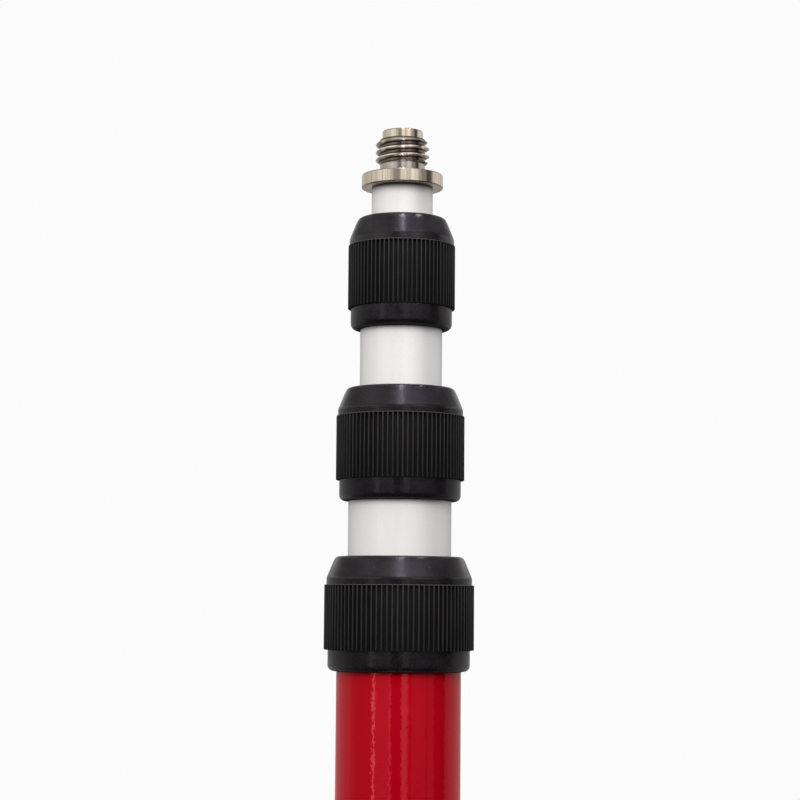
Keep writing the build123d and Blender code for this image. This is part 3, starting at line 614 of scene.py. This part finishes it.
def grip_rubber():
    """Matt black rubber, paler on the crests of the ribs and on the rim from wear and a painted highlight,
    nearly black in the valleys as painted shade.
    """
    shaded_valley = (0.0034, 0.0031, 0.0032, 1)
    worn_and_highlit_crest = (0.0205, 0.0192, 0.0194, 1)
    worn_and_highlit_rim = (0.042, 0.040, 0.037, 1)
    rubber = Finish("grip_rubber", {"IOR": 1.42, "Sheen Weight": 0.04, "Sheen Roughness": 0.4})
    height = rubber.attribute("rib_height")
    # Crests and rim paler from wear and as a painted highlight, valleys nearly black as painted shade; the
    # crest share (rubbed) is wear and painted highlight together.
    crest = rubber.spread(height, 0.85, 0.98)
    patch = rubber.noise(rubber.stretched(220, 220, 120), detail=4, roughness=0.6)
    rubbed = rubber.times(crest, rubber.spread(patch, 0.3, 0.7, 0.45, 1.0))
    ribbed = rubber.mixed(rubbed, shaded_valley, worn_and_highlit_crest)
    rubber.colour(rubber.mixed(rubber.spread(height, 1.2, 1.8), ribbed, worn_and_highlit_rim))
    rubber.roughness(rubber.spread(rubbed, 0.0, 1.0, 0.72, 0.5))
    rubber.normal(rubber.relief(rubber.noise(rubber.place, scale=2600, detail=3), 0.012 * MM))
    return rubber.material


def turned_metal(name, colour, stained, gloss, lines_depth):
    """Lathe-turned metal with tool lines round the axis and soft stains."""
    metal = Finish(name, {"Metallic": 1.0})
    lines = metal.noise(metal.turned(9000), detail=2, roughness=0.6)
    stain = metal.noise(metal.place, scale=130, detail=4)
    metal.colour(metal.mixed(metal.spread(stain, 0.35, 0.75), colour, stained))
    metal.roughness(metal.spread(lines, 0.25, 0.75, *gloss))
    metal.normal(metal.relief(lines, lines_depth))
    return metal.material


def stainless():
    """Turned stainless steel: tool lines, stains, painted reflections as dark streaks, a painted highlight on
    the thread, painted shade and dirt in its grooves.
    """
    steel = Finish("stainless", {"Metallic": 1.0})
    lines = steel.noise(steel.turned(9000), detail=2, roughness=0.6)
    stain = steel.noise(steel.place, scale=130, detail=4)
    # Dark upright streaks in patches over the steel are painted reflections.
    reflection_streak = steel.noise(steel.stretched(1250, 1250, 30), detail=2, roughness=0.6)
    patch = steel.noise(steel.stretched(110, 110, 10), detail=1)
    painted_reflection_streaks = steel.times(steel.spread(reflection_streak, 0.44, 0.64, 0.0, 0.75),
                           steel.spread(patch, 0.44, 0.58, 0.4, 1.0))
    tint = steel.noise(steel.stretched(700, 700, 60), detail=2)
    warm = steel.mixed(steel.spread(stain, 0.35, 0.75), (0.84, 0.725, 0.58, 1), (0.77, 0.645, 0.465, 1))
    tinted = steel.mixed(steel.spread(tint, 0.45, 0.68, 0.0, 0.6), warm, (0.82, 0.66, 0.60, 1))
    bright = steel.mixed(painted_reflection_streaks, tinted, (0.36, 0.31, 0.25, 1))
    above_seat = steel.math("GREATER_THAN", steel.height(), STUD_SEAT)
    below_top = steel.math("LESS_THAN", steel.height(), THREAD_TOP)
    thread = steel.times(above_seat, below_top)
    # Darker deeper in from the crests and on the neck under the thread: painted shade in the grooves, with
    # some dirt.
    depth = steel.spread(steel.radius(), THREAD_CREST_R - GROOVE_SHADE_AND_DIRT_DEPTH[0], THREAD_CREST_R - GROOVE_SHADE_AND_DIRT_DEPTH[1])
    neck = steel.spread(steel.height(), THREAD_BOTTOM + NECK_SHADE_AND_DIRT_FADE, THREAD_BOTTOM)
    groove_shade_and_dirt = steel.mixed(neck, (0.16, 0.13, 0.108, 1), (0.53, 0.47, 0.44, 1))
    # The thread is near white, paler than the rest of the steel: a painted highlight on its crests.
    highlit_thread = steel.mixed(thread, bright, (0.99, 0.88, 0.78, 1))
    steel.colour(steel.mixed(steel.times(thread, depth), highlit_thread, groove_shade_and_dirt))
    steel.roughness(steel.spread(lines, 0.25, 0.75, 0.10, 0.19))
    steel.normal(steel.relief(lines, 0.002 * MM))
    return steel.material


def worn_point_steel():
    """Hardened steel of the point: turned, scratched lengthways, with soil stains towards the tip."""
    steel = Finish("point_steel", {"Metallic": 1.0})
    lines = steel.noise(steel.turned(3500), detail=2, roughness=0.6)
    scratch = steel.noise(steel.stretched(3200, 3200, 90), detail=3, roughness=0.6)
    soil = steel.noise(steel.place, scale=240, detail=5, roughness=0.65)
    bright = steel.mixed(steel.spread(scratch, 0.42, 0.68), (0.40, 0.40, 0.41, 1), (0.62, 0.62, 0.63, 1))
    near_tip = steel.spread(steel.height(), SOIL_START, SOIL_FULL)
    stained = steel.times(near_tip, steel.spread(soil, 0.50, 0.66))
    steel.colour(steel.mixed(stained, bright, (0.20, 0.16, 0.12, 1)))
    steel.roughness(steel.spread(scratch, 0.3, 0.7, 0.38, 0.22))
    steel.normal(steel.relief(lines, 0.004 * MM))
    return steel.material


def powder_coat():
    """Black powder coat on the level's castings: fine pebbled skin, paler where it is rubbed."""
    coat = Finish("level_casting", {"IOR": 1.5})
    pebble = coat.noise(coat.place, scale=1300, detail=2)
    rub = coat.noise(coat.place, scale=70, detail=5, roughness=0.65)
    coat.colour(coat.mixed(coat.spread(rub, 0.48, 0.72), (0.022, 0.022, 0.024, 1), (0.042, 0.042, 0.044, 1)))
    coat.roughness(coat.spread(pebble, 0.3, 0.7, 0.34, 0.48))
    coat.normal(coat.relief(pebble, 0.045 * MM))
    return coat.material


def black_anodised():
    """Black anodised aluminium of the vial's cup, with turning lines round the vial's own axis."""
    skin = Finish("vial_housing", {"Metallic": 0.6})
    low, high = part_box("vial_cup")
    to_vial = (0, -(low.y + high.y) / 2, 0)
    skin.place = skin.node("Mapping", {"Vector": skin.place, "Location": to_vial}).outputs["Vector"]
    lines = skin.noise(skin.turned(5000), detail=2, roughness=0.6)
    haze = skin.noise(skin.place, scale=260, detail=4)
    skin.colour(skin.mixed(skin.spread(haze, 0.35, 0.7), (0.045, 0.045, 0.050, 1), (0.070, 0.070, 0.076, 1)))
    skin.roughness(skin.spread(lines, 0.25, 0.75, 0.28, 0.40))
    skin.normal(skin.relief(lines, 0.003 * MM))
    return skin.material


def plain_plastic(name, colour, mottled, roughness):
    """Matt moulded plastic with a soft mottle."""
    plastic = Finish(name, {"IOR": 1.5})
    mottle = plastic.noise(plastic.place, scale=300, detail=4)
    grain = plastic.noise(plastic.place, scale=3000, detail=2)
    plastic.colour(plastic.mixed(plastic.spread(mottle, 0.3, 0.7), colour, mottled))
    plastic.roughness(plastic.spread(grain, 0.3, 0.7, roughness - 0.06, roughness + 0.06))
    plastic.normal(plastic.relief(grain, 0.006 * MM))
    return plastic.material


def matt_rubber():
    """Dull black rubber of the stop and the wipers, with a powdery bloom."""
    black = (0.0030, 0.0028, 0.0027, 1)
    bloomed = (0.0065, 0.0062, 0.0060, 1)
    rubber = Finish("stop_rubber", {"Specular IOR Level": 0.12})
    bloom = rubber.noise(rubber.place, scale=700, detail=3)
    rubber.colour(rubber.mixed(rubber.spread(bloom, 0.4, 0.7), black, bloomed))
    rubber.roughness(rubber.spread(bloom, 0.3, 0.7, 0.8, 0.95))
    rubber.normal(rubber.relief(bloom, 0.006 * MM))
    return rubber.material


def clear_body(name, colour, ior):
    """Clear moulding or liquid with a barely uneven surface."""
    clear = Finish(name, {"IOR": ior, "Transmission Weight": 1.0, "Roughness": 0.02})
    ripple = clear.noise(clear.place, scale=160, detail=2)
    deeper = (*(0.97 * part for part in colour[:3]), 1)
    clear.colour(clear.mixed(clear.spread(ripple, 0.3, 0.7), colour, deeper))
    clear.normal(clear.relief(ripple, 0.002 * MM))
    return clear.material


FINISHES = {
    "red_paint": red_paint(),
    "pale_anodised": pale_anodised(),
    "black_moulding": black_moulding(),
    "grip_rubber": grip_rubber(),
    "stainless": stainless(),
    "lock_alloy": turned_metal("lock_alloy", (0.62, 0.62, 0.63, 1), (0.54, 0.54, 0.55, 1),
                               gloss=(0.28, 0.42), lines_depth=0.002 * MM),
    "holder_alloy": turned_metal("holder_alloy", (0.70, 0.70, 0.71, 1), (0.60, 0.60, 0.61, 1),
                                 gloss=(0.22, 0.36), lines_depth=0.002 * MM),
    "point_steel": worn_point_steel(),
    "pin_steel": turned_metal("pin_steel", (0.55, 0.55, 0.56, 1), (0.46, 0.46, 0.47, 1),
                              gloss=(0.2, 0.3), lines_depth=0.001 * MM),
    "level_screw": turned_metal("level_screw", (0.50, 0.50, 0.51, 1), (0.40, 0.40, 0.41, 1),
                                gloss=(0.22, 0.34), lines_depth=0.001 * MM),
    "slip_brass": turned_metal("slip_brass", (0.72, 0.55, 0.25, 1), (0.60, 0.43, 0.18, 1),
                               gloss=(0.22, 0.34), lines_depth=0.002 * MM),
    "collet_nylon": plain_plastic("collet_nylon", (0.16, 0.16, 0.17, 1), (0.12, 0.12, 0.13, 1),
                                  roughness=0.5),
    "slide_acetal": plain_plastic("slide_acetal", (0.86, 0.86, 0.83, 1), (0.80, 0.80, 0.77, 1),
                                  roughness=0.45),
    "stop_rubber": matt_rubber(),
    "level_casting": powder_coat(),
    "vial_housing": black_anodised(),
    "vial_white": plain_plastic("vial_white", (0.86, 0.86, 0.84, 1), (0.80, 0.80, 0.78, 1),
                                roughness=0.5),
    "vial_clear": clear_body("vial_clear", (0.95, 0.97, 0.95, 1), ior=1.49),
    "vial_spirit": clear_body("vial_spirit", (0.72, 0.86, 0.18, 1), ior=1.36),
}


def finish_piece(piece, slot):
    piece.data.materials.clear()
    piece.data.materials.append(FINISHES[slot])


# What glossy surfaces see round the pole: degrees to the right of the viewer, and level.
# First level with the eye, then below it, a little above it, and overhead.
ROOM_AT_EYE = [
    (-180, 0.30), (-130, 0.28), (-104, 0.25), (-92, 0.15), (-80, 0.10), (-46.4, 0.10), (-45.4, 1.5),
    (-43.8, 1.5), (-42.8, 0.18), (-17.5, 0.20), (-16.3, 0.55), (-14.6, 0.55), (-13.4, 0.01), (4.5, 0.01),
    (7.5, 0.50), (15, 0.46), (19, 0.05), (23, 0.05), (25.5, 0.13), (51, 0.13), (52.5, 0.05), (54, 0.05),
    (55.5, 0.12), (68, 0.12), (70, 0.01), (93, 0.01), (97, 0.18), (112, 0.26), (130, 0.30), (180, 0.30)]
ROOM_BELOW_EYE = [
    (-180, 0.34), (-125, 0.34), (-95, 0.20), (-70, 0.02), (75, 0.02), (95, 0.20), (125, 0.34), (180, 0.34)]
ROOM_ABOVE_EYE = [
    (-180, 0.48), (-116, 0.48), (-97, 0.54), (-66, 0.78), (-53, 0.98), (-46, 0.70), (-40, 0.85), (-29, 0.55),
    (-17, 0.22), (-8, 0.25), (-3, 0.95), (7, 1.0), (14, 0.50), (22, 0.80), (30, 1.0), (42, 0.92), (50, 0.38),
    (67, 0.30), (74, 0.08), (87, 0.06), (97, 0.58), (117, 0.62), (144, 0.52), (180, 0.48)]
ROOM_OVERHEAD = [
    (-180, 0.30), (-108, 0.32), (-91, 0.36), (-57, 0.54), (-40, 0.40), (-20, 0.66), (-9, 1.1), (1, 3.1),
    (6, 3.1), (12, 1.3), (24, 1.1), (40, 1.0), (52, 0.70), (70, 0.36), (86, 0.28), (180, 0.30)]
# How much of the room shows by height: degrees above the eye, and share.
ROOM_BY_HEIGHT = [
    (-90, 0.1), (-45, 0.25), (-16, 1.0), (9, 1.0), (12, 1.3), (16, 1.2), (22, 0.45), (30, 0.45), (35, 0.85),
    (41, 1.45), (45, 1.05), (50, 0.95), (55, 0.55), (62, 1.2), (70, 1.6), (90, 1.6)]
# Heights between which one ring of the room goes over into the next.
AT_EYE_FROM = (-9.0, -5.5)
ABOVE_EYE_FROM = (7.0, 11.5)
OVERHEAD_FROM = (24.0, 36.0)
# Blue-violet cast of the lamps overhead, and how much of it there is on each side.
OVERHEAD_TINT = (0.862, 0.819, 1.0, 1.0)
OVERHEAD_TINTED = [(-180, 0.0), (-26, 0.0), (-8, 1.0), (62, 1.0), (84, 0.0), (180, 0.0)]
# Levels that stand for white in the two sets of steps.
ROOM_PEAK = 4.0
HEIGHT_PEAK = 2.0

# Soft fill on matt surfaces: its level on the left and on the right, its share from below and from above, and
# the height, as a share of straight up, between which it changes.
FILL_COLOUR = (1.0, 0.99, 0.98, 1)
FILL_LEFT = 0.66
FILL_RIGHT = 0.41
FILL_BELOW = 0.25
FILL_ABOVE = 1.25
FILL_CHANGE = (-0.45, 0.25)
BACKDROP = 0.97

# Point on the pole that the lamps are aimed at.
LAMP_AIM = Vector((0, 0, 1.32))


def make_studio_light():
    """White to the camera, soft fill on the object, and a dim room with bright panels in reflections."""
    world = bpy.data.worlds.new("studio")
    bpy.context.scene.world = world
    world.use_nodes = True
    world.cycles.sampling_method = "NONE"
    studio = Pattern(world.node_tree)
    studio.tree.nodes.clear()
    direction = studio.node("TexCoord").outputs["Generated"]
    axes = studio.node("SeparateXYZ", {"Vector": direction}).outputs
    turned = studio.node("Mapping", {"Vector": direction, "Rotation": (0, 0, math.radians(90))})
    side = studio.node("TexGradient", {"Vector": turned.outputs["Vector"]}, gradient_type="RADIAL")

    def over(first, second, share, blend_type="MIX"):
        mix = studio.node("MixRGB", {0: share, 1: first, 2: second}, blend_type=blend_type)
        return mix.outputs["Color"]

    def background(colour, strength=1.0):
        return studio.node("Background", {"Color": colour, "Strength": strength}).outputs["Background"]

    def seen_by(share, first, second):
        return studio.node("MixShader", {0: share, 1: first, 2: second}).outputs["Shader"]

    def by_side(stops, peak=ROOM_PEAK):
        positions = [(degrees / 360 + 0.5, level / peak) for degrees, level in stops]
        return studio.steps(side.outputs["Fac"], positions)

    def from_height(low, high):
        return studio.spread(axes["Z"], math.sin(math.radians(low)), math.sin(math.radians(high)),
                             interpolation_type="SMOOTHSTEP")

    lamps = over(by_side(ROOM_OVERHEAD), OVERHEAD_TINT, by_side(OVERHEAD_TINTED, peak=1), "MULTIPLY")
    walls = over(by_side(ROOM_BELOW_EYE), by_side(ROOM_AT_EYE), from_height(*AT_EYE_FROM))
    walls = over(walls, by_side(ROOM_ABOVE_EYE), from_height(*ABOVE_EYE_FROM))
    walls = over(walls, lamps, from_height(*OVERHEAD_FROM))
    shares = [((math.sin(math.radians(degrees)) + 1) / 2, share / HEIGHT_PEAK)
              for degrees, share in ROOM_BY_HEIGHT]
    by_height = studio.steps(studio.spread(axes["Z"], -1, 1), shares)
    reflections = background(over(walls, by_height, 1.0, "MULTIPLY"), ROOM_PEAK * HEIGHT_PEAK)

    from_side = studio.spread(axes["X"], -1, 1, FILL_LEFT, FILL_RIGHT)
    from_above = studio.spread(axes["Z"], *FILL_CHANGE, FILL_BELOW, FILL_ABOVE, "SMOOTHSTEP")
    fill = background(FILL_COLOUR, studio.times(from_side, from_above))

    ray = studio.node("LightPath").outputs
    straight = studio.math("MAXIMUM", ray["Is Camera Ray"], ray["Is Transmission Ray"])
    lit = seen_by(ray["Is Glossy Ray"], fill, reflections)
    shown = seen_by(straight, lit, background(grey(BACKDROP)))
    studio.node("OutputWorld", {"Surface": shown})


def softbox(name, azimuth, elevation, distance, width, height, level, colour, in_gloss=False):
    """Rectangular lamp aimed at the top of the pole; level is the brightness of its face."""
    lamp = bpy.data.lights.new(name, "AREA")
    lamp.shape = "RECTANGLE"
    lamp.size = width
    lamp.size_y = height
    lamp.energy = level * math.pi * width * height
    lamp.color = colour
    turn = math.radians(azimuth)
    rise = math.radians(elevation)
    back = Vector((math.sin(turn) * math.cos(rise), -math.cos(turn) * math.cos(rise), math.sin(rise)))
    box = bpy.data.objects.new(name, lamp)
    box.visible_glossy = in_gloss
    box.matrix_world = (Matrix.Translation(LAMP_AIM + distance * back)
                        @ back.to_track_quat("Z", "Y").to_matrix().to_4x4())
    bpy.context.scene.collection.objects.link(box)


def make_camera():
    camera = bpy.data.objects.new("viewpoint", bpy.data.cameras.new("viewpoint"))
    camera.data.lens = CAMERA_LENS
    camera.matrix_world = (Matrix.Translation(CAMERA_PLACE)
                           @ Matrix.Rotation(math.radians(90 + CAMERA_TILT), 4, "X")
                           @ Matrix.Rotation(math.radians(CAMERA_ROLL), 4, "Z"))
    bpy.context.scene.collection.objects.link(camera)
    bpy.context.scene.camera = camera


def make_floor():
    """Pale disc under the pole that fades into the white round it."""
    clear_selection()
    bpy.ops.mesh.primitive_circle_add(vertices=FLOOR_SEGMENTS, radius=FLOOR_RADIUS, fill_type="NGON")
    floor = new_piece("floor")
    paint = Finish("floor", {"Roughness": 0.8})
    grain = paint.noise(paint.place, scale=6, detail=3)
    paint.colour(paint.mixed(grain, grey(FLOOR_GREYS[0]), grey(FLOOR_GREYS[1])))
    distance = paint.node("VectorMath", {0: paint.place}, operation="LENGTH").outputs["Value"]
    ray = paint.node("LightPath").outputs
    reflected = paint.math("MAXIMUM", ray["Is Glossy Ray"], ray["Is Diffuse Ray"])
    reach = paint.spread(reflected, 0.0, 1.0, FLOOR_REACH, FLOOR_REFLECTED_REACH)
    faded = paint.spread(paint.math("DIVIDE", distance, reach), FLOOR_FADE_START, 1.0)
    nothing = paint.node("BsdfTransparent").outputs["BSDF"]
    fade = paint.node("MixShader", {0: faded, 1: paint.surface.outputs["BSDF"], 2: nothing})
    paint.feed(paint.tree.nodes["Material Output"].inputs["Surface"], fade.outputs["Shader"])
    floor.data.materials.append(paint.material)


bpy.context.scene.view_settings.view_transform = "Standard"

for node, slot in SLOTS.items():
    finish_piece(frame["nodes"][node], slot)
for place in GRIP_RIBS:
    ribbed_grip(place)
    nut_shell(place)
    wiper_ring(place)
for node in ("level_arm", "level_clamp_back"):
    softened(node, f"{node}_casting", CASTING_EDGE)
for node in ("level_clamp_screws", "level_clamp_nuts", "vial_adjusting_screws"):
    softened(node, f"{node}_eased", SCREW_EDGE)
softened("point", "point_eased", POINT_EDGE)
vial_spirit()
target_circle()

make_floor()
make_studio_light()
softbox("overhead_softbox", azimuth=14, elevation=48, distance=2.2, width=2.4, height=1.2, level=2.0,
        colour=(1.0, 0.97, 1.06))
softbox("front_fill", azimuth=-8, elevation=32, distance=2.5, width=2.8, height=1.2, level=7.6,
        colour=(1.0, 0.985, 0.955))
softbox("rear_fill", azimuth=172, elevation=32, distance=2.5, width=2.8, height=1.2, level=5.0,
        colour=(1.0, 0.985, 0.97))
softbox("overhead_strip", azimuth=3, elevation=60, distance=1.2, width=0.05, height=0.48, level=6.5,
        colour=(0.96, 0.93, 1.0), in_gloss=True)
softbox("overhead_lamp", azimuth=3, elevation=65, distance=1.2, width=0.05, height=0.1, level=42.0,
        colour=(1.0, 0.98, 1.0), in_gloss=True)
softbox("side_lamp", azimuth=67, elevation=62, distance=1.2, width=0.1, height=0.1, level=34.0,
        colour=(1.0, 1.0, 1.0), in_gloss=True)
make_camera()
